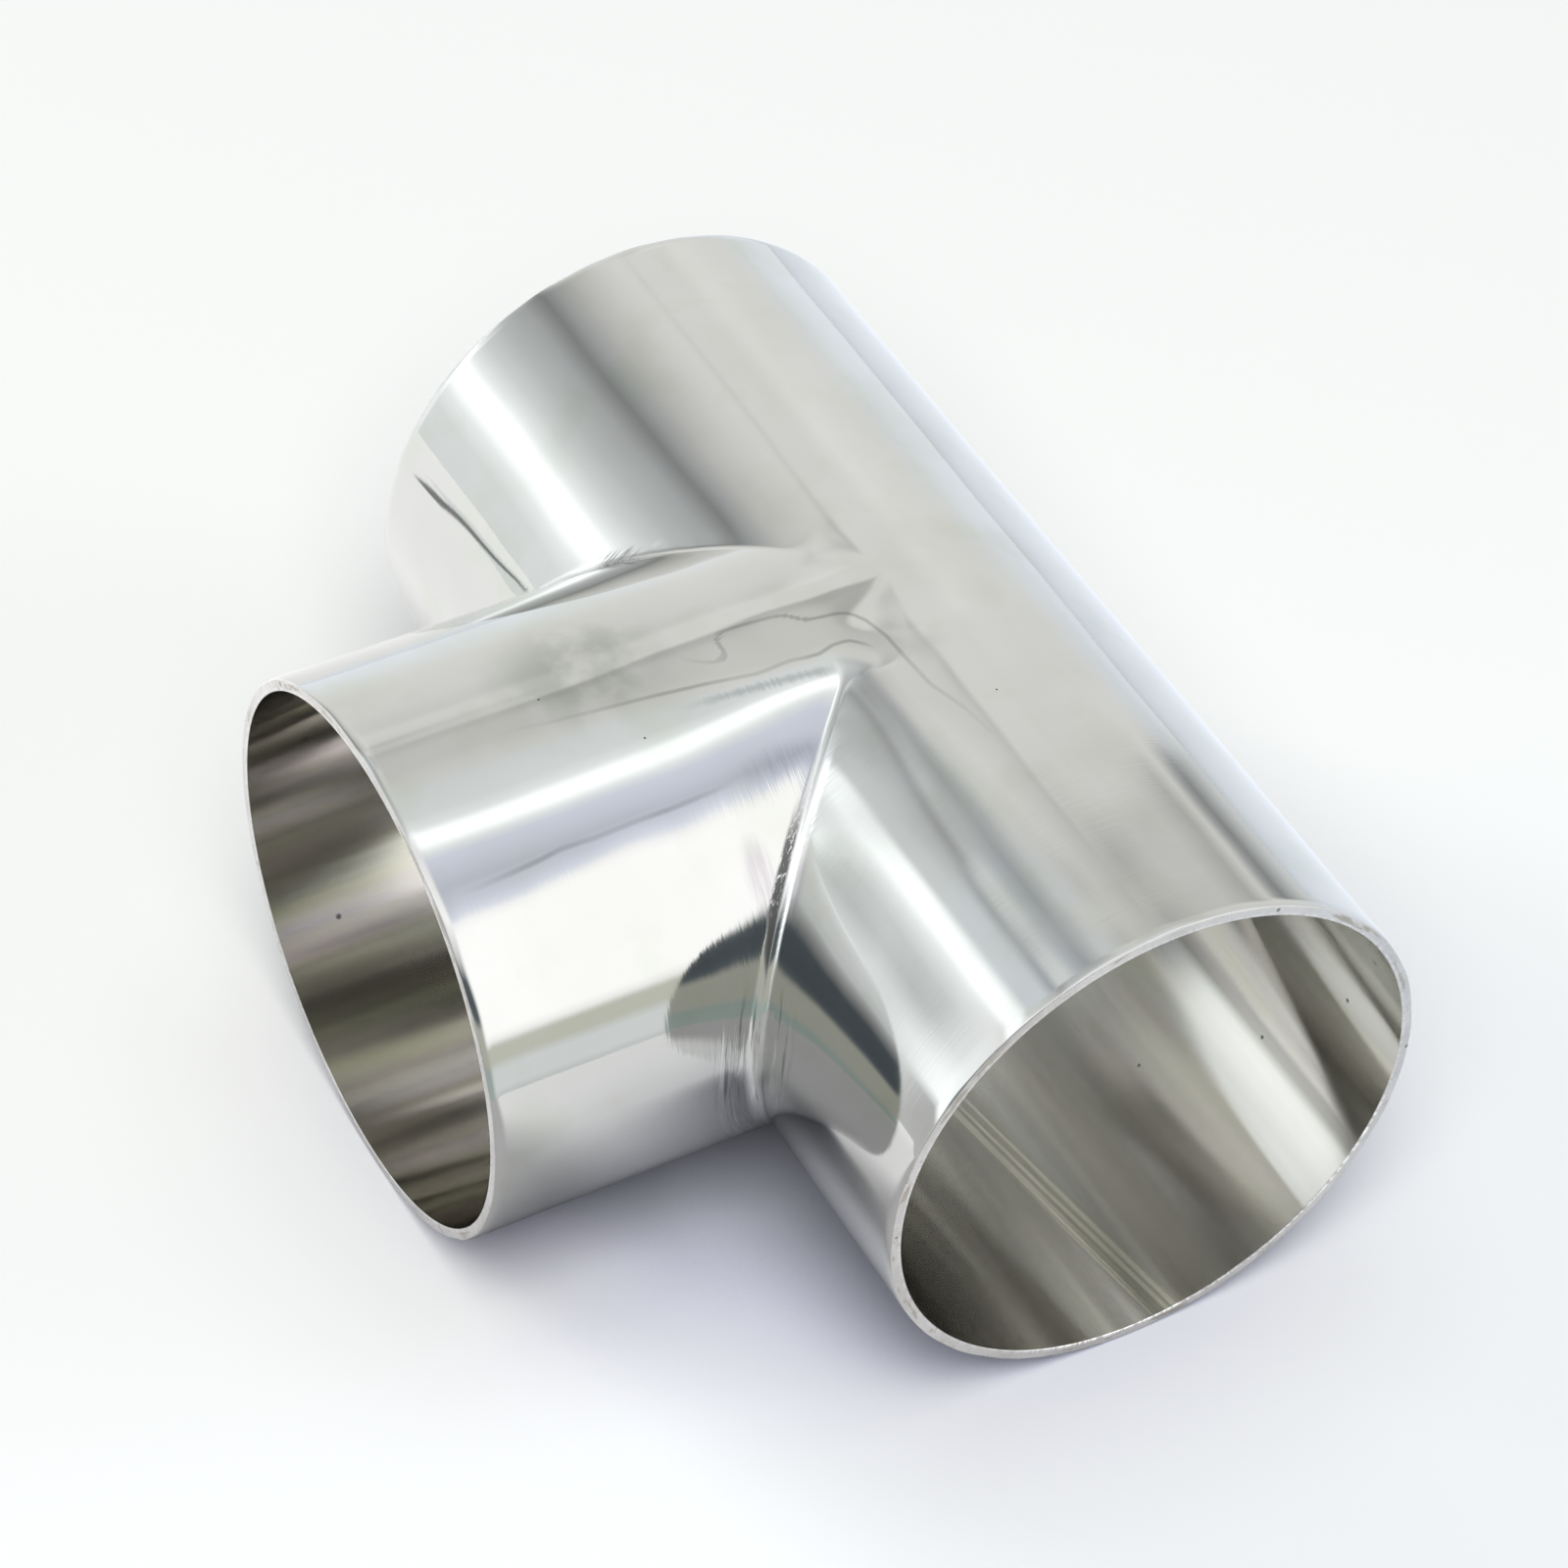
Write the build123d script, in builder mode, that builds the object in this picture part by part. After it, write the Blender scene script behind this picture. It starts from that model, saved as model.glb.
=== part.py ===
"""Equal weld tee for sanitary tube: a straight run with one branch of the same bore.

The run lies along X and the branch points along -Y. The origin is where their axes cross.
All lengths are in millimetres.
"""

import os
from build123d import *

# Tube
TUBE_OD = 76.2
WALL = 1.65

# Distance from the crossing of the axes to each square-cut end
RUN_TO_END = 72.0
BRANCH_TO_END = 75.0

# Edges
CROTCH_RADIUS = 2.0
BORE_EDGE_RADIUS = 0.8
END_EDGE_BREAK = 0.15

# The two skins run into each other at the top and bottom of the crossing, where the crease
# between them fades out. Crease radii stop at this share of the skin's radius above and below.
CREASE_REACH = 0.985

SKIN_RADIUS = TUBE_OD / 2
BORE_RADIUS = SKIN_RADIUS - WALL

# Run circles start half-way up the back, so that their cylinders' seams stay clear of the branch
RUN_START = Plane(origin=(-RUN_TO_END, 0, 0), x_dir=(0, 1, 1), z_dir=(1, 0, 0))

# Outer skin as a filled tee
with BuildPart() as plain_skin:
    with BuildSketch(RUN_START) as run_skin_circle:
        Circle(SKIN_RADIUS)
    extrude(amount=2 * RUN_TO_END)
    with BuildSketch(Plane.XZ) as branch_skin_circle:
        Circle(SKIN_RADIUS)
    extrude(amount=BRANCH_TO_END)

# Middle of the outer skin, with the crotch creases filled to a radius
with BuildPart() as skin_middle:
    add(plain_skin.part)
    split(bisect_by=Plane.XY.offset(SKIN_RADIUS * CREASE_REACH), keep=Keep.BOTTOM)
    split(bisect_by=Plane.XY.offset(-SKIN_RADIUS * CREASE_REACH), keep=Keep.TOP)
    fillet(skin_middle.edges().filter_by(GeomType.ELLIPSE), CROTCH_RADIUS)

# Crossing bores as a filled tee
with BuildPart() as plain_bores:
    with BuildSketch(RUN_START) as run_bore_circle:
        Circle(BORE_RADIUS)
    extrude(amount=2 * RUN_TO_END)
    with BuildSketch(Plane.XZ) as branch_bore_circle:
        Circle(BORE_RADIUS)
    extrude(amount=BRANCH_TO_END)

# Middle of the bores, whose filled creases leave the inner edge of the wall rounded
with BuildPart() as bores_middle:
    add(plain_bores.part)
    split(bisect_by=Plane.XY.offset(BORE_RADIUS * CREASE_REACH), keep=Keep.BOTTOM)
    split(bisect_by=Plane.XY.offset(-BORE_RADIUS * CREASE_REACH), keep=Keep.TOP)
    fillet(bores_middle.edges().filter_by(GeomType.ELLIPSE), BORE_EDGE_RADIUS)

# The tee: skin less bores, with the three cut ends deburred
with BuildPart() as tee_body:
    add(plain_skin.part)
    add(skin_middle.part)
    add(plain_bores.part, mode=Mode.SUBTRACT)
    add(bores_middle.part, mode=Mode.SUBTRACT)
    run_end_edges = tee_body.faces().sort_by(Axis.X)[0].edges() + tee_body.faces().sort_by(Axis.X)[-1].edges()
    branch_end_edges = tee_body.faces().sort_by(Axis.Y)[0].edges()
    chamfer(run_end_edges + branch_end_edges, END_EDGE_BREAK)

tee_body.part.label = "tee_body"

os.makedirs("parts", exist_ok=True)
export_step(tee_body.part, "parts/tee_body.step")
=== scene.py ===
"""Studio picture of a polished sanitary weld tee lying on a pale bench.

Metres, in the CAD frame: run along X, branch towards -Y, origin where the axes cross.
"""
import math

import bmesh
import bpy
import numpy as np
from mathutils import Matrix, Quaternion, Vector


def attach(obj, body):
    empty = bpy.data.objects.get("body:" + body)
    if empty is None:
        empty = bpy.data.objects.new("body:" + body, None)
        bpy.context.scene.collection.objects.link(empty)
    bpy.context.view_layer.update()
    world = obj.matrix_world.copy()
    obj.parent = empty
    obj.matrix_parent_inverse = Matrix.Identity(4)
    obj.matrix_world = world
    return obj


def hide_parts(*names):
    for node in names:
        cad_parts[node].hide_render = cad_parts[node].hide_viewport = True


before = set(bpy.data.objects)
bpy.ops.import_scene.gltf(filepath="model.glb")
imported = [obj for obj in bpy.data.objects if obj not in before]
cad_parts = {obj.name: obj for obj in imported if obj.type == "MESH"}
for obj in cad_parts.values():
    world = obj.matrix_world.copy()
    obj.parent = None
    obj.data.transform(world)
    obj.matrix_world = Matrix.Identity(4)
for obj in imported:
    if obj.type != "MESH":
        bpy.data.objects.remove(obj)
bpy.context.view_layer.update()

# Sizes of the tee, as in the CAD source
SKIN = 0.0381
WALL = 0.00165
BORE = SKIN - WALL
RUN = 0.072
BRANCH = 0.075
CROTCH = 0.002
BORE_EDGE = 0.0008
FLOOR_Z = -SKIN

# The buffed outer edge of each rim is rounded this far along the skin and across the face, with a row of
# points at each of these turns. It looks like the skin up to BUFFED_TO, and like the cut face from there.
ROUND_ALONG = 0.0016
ROUND_ACROSS = 0.00030
ROUND_TURNS = np.linspace(0, math.pi / 2, 10)[1:]
BUFFED_TO = 1.35

# The edge at the bore has only a small break
BORE_BREAK = 0.00008

# Rows of points across the cut face, as shares of its width from the outer edge
FACE_ROWS = (0.3, 0.6, 0.88)

# The crease at each crotch is ground away towards the top, between these angles up the side, into a
# smooth band this wide: first the crotch on the +X side, then the one on the -X side. Above the last
# angle both bands narrow to nothing, because the run and the branch meet there without a crease.
CROWN_ANGLES = ((math.radians(67), math.radians(81)), (math.radians(75), math.radians(84)))
CROWN_WIDTHS = (0.012, 0.008)
CROWN_CLOSES = math.radians(83)

# Each sheet of the mesh has one row for each of these angles, from the bottom up the side to the top,
# and this many columns along a leg and round a crotch
ROW_ANGLES = np.radians(np.concatenate([np.linspace(-90, 0, 41)[:-1], np.linspace(0, 50, 44)[:-1],
                                        np.linspace(50, 90, 81)]))
SKIN_COLUMNS = (44, 15)
BORE_COLUMNS = (14, 7)

# Axis and direction that the two ends of each sheet face
SHEET_ENDS = {"right": ((0, 1), (1, -1)), "left": ((0, -1), (1, -1)), "back": ((0, 1), (0, -1))}

# Zones of the mesh, in the order of the tee's materials
SKIN_ZONE, BORE_ZONE, CUT_ZONE = 0, 1, 2

# Points nearer than this are one point, and an edge that turns by more than this shows sharp
MERGE_WITHIN = 1.5e-6
SHORTEST_EDGE = 1e-8
SHARP_TURN = math.radians(32)


# Mesh of the tee

def smooth(x, a, b):
    """0 at a, 1 at b, smooth between."""
    t = np.clip((x - a) / (b - a), 0, 1)
    return t * t * (3 - 2 * t)


def hump(x, centre, width):
    return np.exp(-((x - centre) / width) ** 2)


class Waves:
    """Smooth seeded noise, a sum of plane waves, about -1 to 1."""

    def __init__(self, seed, length, count=20):
        rng = np.random.default_rng(seed)
        d = rng.normal(size=(count, 3))
        d /= np.linalg.norm(d, axis=1)[:, None]
        self.k = d * (2 * math.pi / (length * rng.uniform(0.7, 1.6, (count, 1))))
        self.phase = rng.uniform(0, 2 * math.pi, count)

    def __call__(self, p):
        out = np.zeros(p.shape[:-1])
        for k, phase in zip(self.k, self.phase):
            out += np.sin(p @ k + phase)
        return out * math.sqrt(2 / len(self.phase)) * 0.6


def slerp(a, b, t):
    """Unit vectors from a to b, one row of t for each pair."""
    w = np.arccos(np.clip((a * b).sum(-1), -1, 1))[:, None]
    near = w < 1e-6
    s = np.where(near, 1.0, np.sin(w))
    wa = np.where(near, 1 - t[None, :], np.sin((1 - t[None, :]) * w) / s)
    wb = np.where(near, t[None, :], np.sin(t[None, :] * w) / s)
    return wa[..., None] * a[:, None, :] + wb[..., None] * b[:, None, :]


def skin_sheets(radius, blend, run_end, branch_end, angles, n_leg, n_blend):
    """One skin of the tee as three sheets, each with one row for each angle from bottom to top.

    right: from the +X end along the side next to the branch, round the crotch and out to the branch's
    mouth. left: the same from the -X end. back: the side away from the branch, from the +X end to the
    -X end. blend is the radius of the crotch in each row.
    """
    c, s = np.cos(angles), np.sin(angles)
    c = np.where(np.abs(c) < 1e-12, 0, c)

    # The columns lie closer together towards the middle of the run and towards the branch's mouth
    t = np.linspace(0, 1, n_leg)
    u = t * (1.35 - 0.35 * t)
    reach = (radius + blend) * c
    zero = np.zeros_like(c)
    radii = blend[:, None, None]

    def grid(x, y, z):
        return np.stack(np.broadcast_arrays(x, y, z), -1)

    high = (radius * s)[:, None]
    leg = grid(run_end + (reach[:, None] - run_end) * u[None, :], -(radius * c)[:, None], high)
    centre = np.stack([reach, -reach, (radius + blend) * s], -1)
    fan = slerp(np.stack([zero, -c, s], -1), np.stack([c, zero, s], -1), np.linspace(0, 1, n_blend))
    limb = grid((radius * c)[:, None], -(reach[:, None] + (branch_end - reach[:, None]) * u[None, :]), high)
    right = np.concatenate([leg, (centre[:, None, :] - radii * fan)[:, 1:], limb[:, 1:]], 1)
    half = grid(run_end * (1 - u)[None, :], (radius * c)[:, None], high)
    mirror = np.array([-1, 1, 1])
    back = np.concatenate([half, (half * mirror)[:, ::-1][:, 1:]], 1)
    return {"right": right, "left": right * mirror, "back": back}


def skin_normals(p, kind, n_leg, n_blend, angles):
    """Outward normals of a sheet, from its own surfaces."""
    c, s = np.cos(angles), np.sin(angles)
    zero = np.zeros_like(c)
    n = np.empty_like(p)
    if kind == "back":
        n[:] = np.stack([zero, c, s], -1)[:, None, :]
        return n
    a, b = np.stack([zero, -c, s], -1), np.stack([c, zero, s], -1)
    n[:, :n_leg] = a[:, None, :]
    n[:, n_leg - 1:n_leg - 1 + n_blend] = slerp(a, b, np.linspace(0, 1, n_blend))
    n[:, n_leg + n_blend - 1:] = b[:, None, :]
    if kind == "left":
        n[..., 0] *= -1
    return n


# Waves of the polished surfaces and the cut faces, each with its depth. The skin stands in from the
# plain tee by LEAST_DENT besides, so that it stays inside the CAD box.
LEAST_DENT = 4e-6
dents_wide, WIDE_DEPTH = Waves(11, 0.030), 25e-6
dents_mid, MID_DEPTH = Waves(7, 0.013), 16e-6
dents_small, SMALL_DEPTH = Waves(41, 0.008), 10e-6
dents_weld, WELD_DEPTH = Waves(5, 0.0035), 12e-6
flutes, FLUTE_DEPTH = Waves(23, 0.011), 3e-6
rim_waves, RIM_DEPTH = Waves(31, 0.006), 12e-6
rim_fine, RIM_FINE_DEPTH = Waves(37, 0.0016), 5e-6

# The dents fade out this near to an end of the skin or the bore
SKIN_END = 0.012
BORE_END = 0.004

# The weld's build-up at the upper end of each crotch: the sign of its x, and its height. It is ground to a
# low mound that runs out along both legs, here as the middle and half width of its hump across and along.
MOUNDS = ((1, 0.00033), (-1, 0.00010))
MOUND_ACROSS, MOUND_ALONG = (0.0115, 0.0044), (0.0190, 0.0150)

# The slight hollow inside each mound is this share of its height deep
HOLLOW = 0.35
HOLLOW_ACROSS, HOLLOW_ALONG = (0.0040, 0.0042), (0.0170, 0.0130)


def outer_dent(p):
    """How far in the real skin stands from the plain tee: hand polishing, and the pull of the weld."""
    x, y, z = p[..., 0], p[..., 1], p[..., 2]

    # The skin stays plain where it rests on the bench, and at its ends
    up = smooth(z, -0.8 * SKIN, -0.2 * SKIN)
    ends = smooth(RUN - np.abs(x), 0.0, SKIN_END) * smooth(BRANCH + y, 0.0, SKIN_END)

    # It is worked most on the crown, where run and branch meet on top, and beside the weld line
    top = smooth(z, 0.3 * SKIN, 0.9 * SKIN)
    crown = np.exp(-(np.hypot(x, y + 0.010) / 0.020) ** 2) * top
    off = np.where(y < 0, np.abs(np.abs(x) + y) / math.sqrt(2), np.hypot(x, y))
    below = 1 - smooth(z, 0.88 * SKIN, 0.98 * SKIN)
    near_weld = np.exp(-(off / 0.012) ** 2) * (y < 0.004) * below
    on_weld = np.exp(-(off / 0.0022) ** 2) * (y < 0) * below
    wide, mid, small, fine = [np.maximum(1.5 + waves(p), 0)
                              for waves in (dents_wide, dents_mid, dents_small, dents_weld)]
    out = LEAST_DENT + WIDE_DEPTH * wide + MID_DEPTH * mid * (0.4 + 1.3 * near_weld + 1.2 * crown)
    out = out + SMALL_DEPTH * small * crown + WELD_DEPTH * fine * on_weld

    for side, height in MOUNDS:
        on_branch = hump(x * side, *MOUND_ACROSS) * hump(-y, *MOUND_ALONG)
        on_run = hump(-y, *MOUND_ACROSS) * hump(x * side, *MOUND_ALONG)
        out -= height * np.hypot(on_branch, on_run) * top
        out += HOLLOW * height * hump(x * side, *HOLLOW_ACROSS) * hump(-y, *HOLLOW_ALONG) * top
    return out * up * ends


def bore_dent(p, n):
    """How far out the real bore stands from the plain one: flutes along each leg."""
    ends = smooth(RUN - np.abs(p[..., 0]), 0.0, BORE_END) * smooth(BRANCH + p[..., 1], 0.0, BORE_END)
    line = p * np.where(np.abs(n[..., :1]) < 0.5, [0.06, 1, 1], [1, 0.06, 1])
    return FLUTE_DEPTH * (1 + flutes(line)) * ends


def grid_faces(shape, base, flip):
    """Faces between the points of a grid whose first point is number base."""
    i, j = np.meshgrid(np.arange(shape[0] - 1), np.arange(shape[1] - 1), indexing="ij")
    a = base + i * shape[1] + j
    q = np.stack([a, a + 1, a + shape[1] + 1, a + shape[1]], -1).reshape(-1, 4)
    return q[:, ::-1] if flip else q


def rim_rows(outer, axis, way):
    """Rows of points over one rim, from the skin's end to the bore, each with the zone of the faces before it."""
    length = RUN if axis == 0 else BRANCH
    radial = outer.copy()
    radial[:, axis] = 0
    radial /= np.linalg.norm(radial, axis=1)[:, None]
    face = np.zeros(3)
    face[axis] = way
    wander = 1 + 0.25 * rim_waves(outer)
    rows = []
    for t in ROUND_TURNS:
        across = ROUND_ACROSS * (1 - math.cos(t)) * wander
        along = (length - ROUND_ALONG) + ROUND_ALONG * math.sin(t)
        zone = SKIN_ZONE if t < BUFFED_TO else CUT_ZONE
        rows.append((radial * (SKIN - across)[:, None] + face * along, zone))
    depth = RIM_DEPTH * np.clip(1 + rim_waves(outer * 1.7), 0, 2) + RIM_FINE_DEPTH * np.clip(1 + rim_fine(outer), 0, 2)
    for share in FACE_ROWS:
        r = SKIN - ROUND_ACROSS + (BORE + BORE_BREAK - SKIN + ROUND_ACROSS) * share
        rows.append((radial * r + face * (length - depth * math.sin(share * math.pi))[:, None], CUT_ZONE))
    rows.append((radial * (BORE + BORE_BREAK) + face * length, CUT_ZONE))
    return rows


def build_tee():
    """The tee's points and faces, closed once doubled points are merged, and the zone of every face."""
    angles = ROW_ANGLES
    parts, faces, zones, base = [], [], [], 0
    rings = {}

    # A ground band of a certain width has that width, over the turn from leg to leg, as its radius. At the
    # very top, where there is no turn, the bands have closed.
    turn = np.arccos(np.minimum(np.sin(angles) ** 2, 0.9999))
    closing = 1 - smooth(angles, CROWN_CLOSES, math.pi / 2)
    crowns = [CROTCH + (width * closing / turn - CROTCH) * smooth(angles, *limits)
              for limits, width in zip(CROWN_ANGLES, CROWN_WIDTHS)]
    bore_edges = [np.full_like(angles, BORE_EDGE)] * 2
    for name, radius, blends, short, columns, zone in (
            ("skin", SKIN, crowns, ROUND_ALONG, SKIN_COLUMNS, SKIN_ZONE),
            ("bore", BORE, bore_edges, BORE_BREAK, BORE_COLUMNS, BORE_ZONE)):
        sheets, far = [skin_sheets(radius, b, RUN - short, BRANCH - short, angles, *columns) for b in blends]
        sheets["left"] = far["left"]
        for kind, p in sheets.items():
            n = skin_normals(p, kind, *columns, angles)
            p = p - n * (outer_dent(p) if name == "skin" else bore_dent(p, n))[..., None]
            faces.append(grid_faces(p.shape, base, (kind == "right") != (name == "bore")))
            zones.append(np.full(len(faces[-1]), zone))
            parts.append(p.reshape(-1, 3))
            rows = np.arange(p.shape[0]) * p.shape[1]
            rings[name, kind] = (base + rows, base + rows + p.shape[1] - 1)
            base += p.shape[0] * p.shape[1]
    points = np.concatenate(parts)

    # Rims: the buffed outer round, the cut face and the small break at the bore
    for kind, ends in SHEET_ENDS.items():
        for end, (axis, way) in enumerate(ends):
            outer, inner = rings["skin", kind][end], rings["bore", kind][end]
            rows, marks = [outer], []
            for q, zone in rim_rows(points[outer], axis, way):
                rows.append(np.arange(base, base + len(q)))
                parts.append(q)
                marks.append(zone)
                base += len(q)
            rows.append(inner)
            marks.append(CUT_ZONE)
            for a, b, zone in zip(rows[:-1], rows[1:], marks):
                faces.append(np.stack([a[:-1], a[1:], b[1:], b[:-1]], -1))
                zones.append(np.full(len(a) - 1, zone))
    return np.concatenate(parts), np.concatenate(faces), np.concatenate(zones)


# Painted reflections: thin dark lines drawn on the crown and the branch where the wavy polish mirrors an edge, as x
# and y in millimetres
PAINTED_LINES = (
    ((5.0, -59.1), (5.8, -52.8), (6.5, -46.3), (7.3, -37.7), (8.2, -30.7), (9.4, -23.7), (9.1, -19.3), (9.7, -15.8),
     (9.2, -13.0), (9.5, -11.0), (10.5, -9.9), (11.6, -9.0), (12.8, -8.6)),
    ((1.0, -34.0), (2.7, -31.7), (3.8, -31.2), (5.4, -28.7), (5.8, -27.4), (5.6, -26.4), (4.5, -26.1), (2.4, -26.2),
     (1.6, -25.9), (1.3, -25.0), (1.4, -21.5), (1.7, -18.0), (2.1, -16.0), (4.0, -14.6), (4.5, -11.9), (4.8, -9.6),
     (5.7, -8.3), (7.5, -7.3), (11.2, -6.4), (15.8, -6.1), (21.3, -5.7), (27.1, -4.1), (32.1, -3.4), (38.0, -2.6)),
    # On the side of the branch
    ((22.1, -73.3), (21.9, -67.8), (21.5, -61.1), (21.1, -57.4), (21.2, -52.5), (21.0, -47.2), (21.0, -41.8),
     (20.8, -36.4), (20.5, -32.3)),
)

# A broader, frayed painted reflection line along the upper edge of the bright streak that runs into the crotch
FRAYED = ((10.2, -36.0), (10.7, -29.8), (11.3, -22.6), (11.8, -17.2), (12.6, -13.4))


def painted_line_field(p, path):
    """Signed distance from the path of a painted reflection line seen from above, and how strong the line is there."""
    best = np.full(len(p), 1.0)
    signed, strength = np.ones(len(p)), np.zeros(len(p))
    path = np.array(path) / 1000
    for i, (start, end) in enumerate(zip(path, path[1:])):
        along = end - start
        rel = p[:, :2] - start
        t = np.clip(rel @ along / (along @ along), 0, 1)
        gap = rel - t[:, None] * along
        d = np.hypot(gap[:, 0], gap[:, 1])
        closer = d < best
        best = np.where(closer, d, best)
        signed = np.where(closer, d * np.sign(along[0] * rel[:, 1] - along[1] * rel[:, 0]), signed)
        share = (i + t) / (len(path) - 1)
        strength = np.where(closer, smooth(share, 0.0, 0.3) * smooth(share, 1.0, 0.8), strength)
    return signed, strength * (p[:, 2] > 0.6 * SKIN)


def add_attributes(mesh):
    """What the materials need to know at each point of the tee."""
    p = np.empty(len(mesh.vertices) * 3)
    mesh.vertices.foreach_get("co", p)
    p = p.reshape(-1, 3)
    x, y, z = p.T

    # Where it is across the weld line, along and around its own leg, and out from the bore
    on_branch = (y < 0) & (np.abs(x) < -y)
    weld = np.where(y < 0.0, (np.abs(x) + y) / math.sqrt(2), np.hypot(x, y))
    fields = {"weld": weld,
              "around": np.where(on_branch, np.arctan2(x, z), np.arctan2(-y, z)) * SKIN,
              "along": np.where(on_branch, y, x),
              "wall": np.where(on_branch, np.hypot(x, z), np.hypot(y, z)) - BORE}

    # Marks of the grinding beside the weld, widest on the branch by the +X crotch
    reach = np.where(x < 0, 0.0016, np.where(on_branch, 0.0070, 0.0020))
    ground = np.exp(-(weld / reach) ** 2) * (y < 0) * smooth(z, 0.96 * SKIN, 0.80 * SKIN) * smooth(z, -0.5 * SKIN, 0)
    fields["ground"] = ground * np.where(x < 0, 1.3, np.where(on_branch, 0.6, 0.8))

    # The bare bead low down in each crotch
    bead = smooth(weld, -0.0048, -0.0030) * smooth(weld, 0.0007, 0.0) * (y < 0) * smooth(z, 0.013, 0.005)
    fields["bead"] = bead * np.where(x < 0, 0.4, 1.0)
    # Where the painted reflection lines lie
    for i, path in enumerate((*PAINTED_LINES, FRAYED)):
        fields["stain_gap_%d" % i], fields["stain_%d" % i] = painted_line_field(p, path)
    for name, values in fields.items():
        mesh.attributes.new(name, "FLOAT", "POINT").data.foreach_set("value", values.astype(np.float32))
    axis = np.where(on_branch[:, None], [0.0, 1.0, 0.0], [1.0, 0.0, 0.0])
    mesh.attributes.new("axis", "FLOAT_VECTOR", "POINT").data.foreach_set("vector", axis.astype(np.float32).ravel())


def tee_object(name, points, faces, zones):
    """Object whose mesh is closed, smooth but for its real edges, and knows what its materials need."""
    mesh = bpy.data.meshes.new(name)
    mesh.from_pydata(points.tolist(), [], faces.tolist())
    mesh.polygons.foreach_set("material_index", zones.astype(np.int32))
    obj = bpy.data.objects.new(name, mesh)
    bpy.context.scene.collection.objects.link(obj)
    bm = bmesh.new()
    bm.from_mesh(mesh)
    bmesh.ops.remove_doubles(bm, verts=bm.verts, dist=MERGE_WITHIN)
    bmesh.ops.dissolve_degenerate(bm, edges=bm.edges, dist=SHORTEST_EDGE)
    bmesh.ops.recalc_face_normals(bm, faces=bm.faces)
    for f in bm.faces:
        f.smooth = True
    for e in bm.edges:
        e.smooth = len(e.link_faces) != 2 or e.calc_face_angle() < SHARP_TURN
    open_edges = sum(not e.is_manifold for e in bm.edges)
    bm.to_mesh(mesh)
    bm.free()
    mesh.update()
    print("tee mesh:", len(mesh.vertices), "points", sum(len(p.vertices) - 2 for p in mesh.polygons), "triangles",
          open_edges, "open edges")
    add_attributes(mesh)
    return obj


tee = tee_object("weld_tee", *build_tee())
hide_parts("tee_body")
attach(tee, "root")


# Node graphs

class Graph:
    """Short calls that add nodes to a shader tree and wire them up."""

    def __init__(self, tree):
        tree.nodes.clear()
        self.tree = tree

    def node(self, kind, inputs=(), **settings):
        n = self.tree.nodes.new(kind)
        for key, value in settings.items():
            setattr(n, key, value)
        for slot, value in dict(inputs).items():
            if isinstance(value, bpy.types.NodeSocket):
                self.tree.links.new(value, n.inputs[slot])
            else:
                n.inputs[slot].default_value = value
        return n

    def math(self, op, a, b=0.0, c=0.0):
        return self.node("ShaderNodeMath", {0: a, 1: b, 2: c}, operation=op).outputs[0]

    def times(self, first, *others):
        """Product of the values, multiplied from the left."""
        for other in others:
            first = self.math("MULTIPLY", first, other)
        return first

    def vector(self, op, *operands):
        """What a vector operation gives: a vector, or a number for a length or a distance."""
        outputs = self.node("ShaderNodeVectorMath", dict(enumerate(operands)), operation=op).outputs
        return outputs["Value" if op in ("LENGTH", "DISTANCE") else "Vector"]

    def scale(self, vector, factor):
        return self.node("ShaderNodeVectorMath", {0: vector, "Scale": factor}, operation="SCALE").outputs[0]

    def join(self, *values):
        return self.node("ShaderNodeCombineXYZ", dict(enumerate(values))).outputs[0]

    def split(self, vector):
        return self.node("ShaderNodeSeparateXYZ", {0: vector}).outputs

    def coords(self, space="Object"):
        return self.node("ShaderNodeTexCoord").outputs[space]

    def field(self, name):
        """Number that the mesh carries under this name."""
        return self.node("ShaderNodeAttribute", attribute_name=name).outputs["Fac"]

    def on_leg(self, stretch_along, stretch_around):
        """Coordinates along and around each leg, in metres times the stretches."""
        return self.join(self.times(self.field("along"), stretch_along),
                         self.times(self.field("around"), stretch_around))

    def noise(self, vector, scale, detail=2.0, rough=0.5):
        inputs = {"Vector": vector, "Scale": scale, "Detail": detail, "Roughness": rough}
        return self.node("ShaderNodeTexNoise", inputs).outputs[0]

    def step(self, x, lo, hi, out_lo=0.0, out_hi=1.0):
        """out_lo at lo and out_hi at hi, smooth between, where hi may be the smaller."""
        inputs = {0: x, 1: lo, 2: hi, 3: out_lo, 4: out_hi}
        return self.node("ShaderNodeMapRange", inputs, interpolation_type="SMOOTHSTEP").outputs[0]

    def mix(self, fac, a, b):
        return self.node("ShaderNodeMix", {0: fac, 6: a, 7: b}, data_type="RGBA").outputs[2]

    def ramp(self, x, stops):
        """Colour against x, with stops of (x, rgb) in order."""
        lo, hi = stops[0][0], stops[-1][0]
        n = self.node("ShaderNodeValToRGB", {0: self.node("ShaderNodeMapRange", {0: x, 1: lo, 2: hi}).outputs[0]})
        elements = n.color_ramp.elements
        while len(elements) < len(stops):
            elements.new(1.0)
        for e, (at, rgb) in zip(elements, stops):
            e.position = (at - lo) / (hi - lo)
            e.color = (*rgb, 1.0)
        return n.outputs[0]

    def metal(self, colour, rough, inputs):
        shader = self.node("ShaderNodeBsdfPrincipled",
                           {"Base Color": colour, "Metallic": 1.0, "Roughness": rough, **inputs})
        self.node("ShaderNodeOutputMaterial", {0: shader.outputs[0]})

    def matt(self, colour):
        self.node("ShaderNodeOutputMaterial", {0: self.node("ShaderNodeBsdfDiffuse", {0: colour}).outputs[0]})


def new_material(name):
    mat = bpy.data.materials.new(name)
    mat.use_nodes = True
    return mat, Graph(mat.node_tree)


# Materials

WHITE = (1.0, 1.0, 1.0, 1)
BLACK = (0.0, 0.0, 0.0, 1)

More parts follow.
